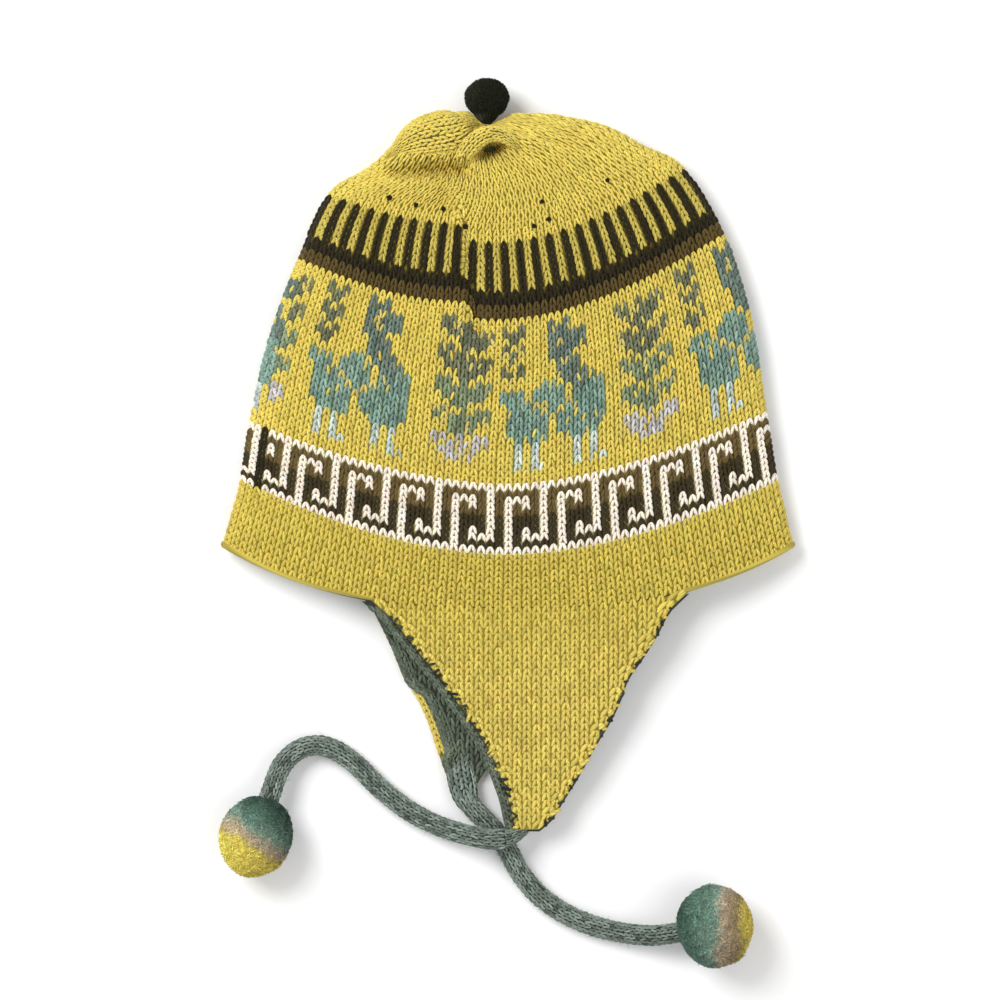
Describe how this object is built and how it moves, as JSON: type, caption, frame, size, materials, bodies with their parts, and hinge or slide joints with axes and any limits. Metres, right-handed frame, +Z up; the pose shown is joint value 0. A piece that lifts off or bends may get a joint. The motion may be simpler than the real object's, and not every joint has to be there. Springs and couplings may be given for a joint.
{
  "type": "knitted ear flap hat",
  "caption": "Knitted wool chullo hat with colourwork bands, lined ear flaps and knitted ties ending in pompoms, lying flat on its side.",
  "frame": {"origin": "on the table, under the middle of the box round the crown, ear flaps and top pompom", "axes": "+Y from the ear flaps to the top pompom, +Z up from the table the hat lies on, +X to the wearer's front"},
  "size_m": [0.2708, 0.4188, 0.0404],
  "materials": {
    "outer_knit": "heather wool yarn in stocking stitch with colourwork, matt and slightly fuzzy",
    "lining_knit": "heather wool yarn in stocking stitch, matt",
    "tie_knit": "heather wool yarn knitted as a round cord, matt",
    "pompom_yarn": "cut wool yarn in a dense ball, shaded from teal to yellow, matt",
    "dark_yarn": "cut wool yarn in a small dense ball, matt"
  },
  "bodies": {
    "root": {"crown": "outer_knit", "crown_lining": "lining_knit", "ear_flap_upper": "outer_knit", "flap_lining_upper": "lining_knit", "ear_flap_lower": "outer_knit", "flap_lining_lower": "lining_knit", "tie_upper": "tie_knit", "pompom_upper": "pompom_yarn", "tie_lower": "tie_knit", "pompom_lower": "pompom_yarn", "top_pompom": "dark_yarn"}
  },
  "joints": []
}
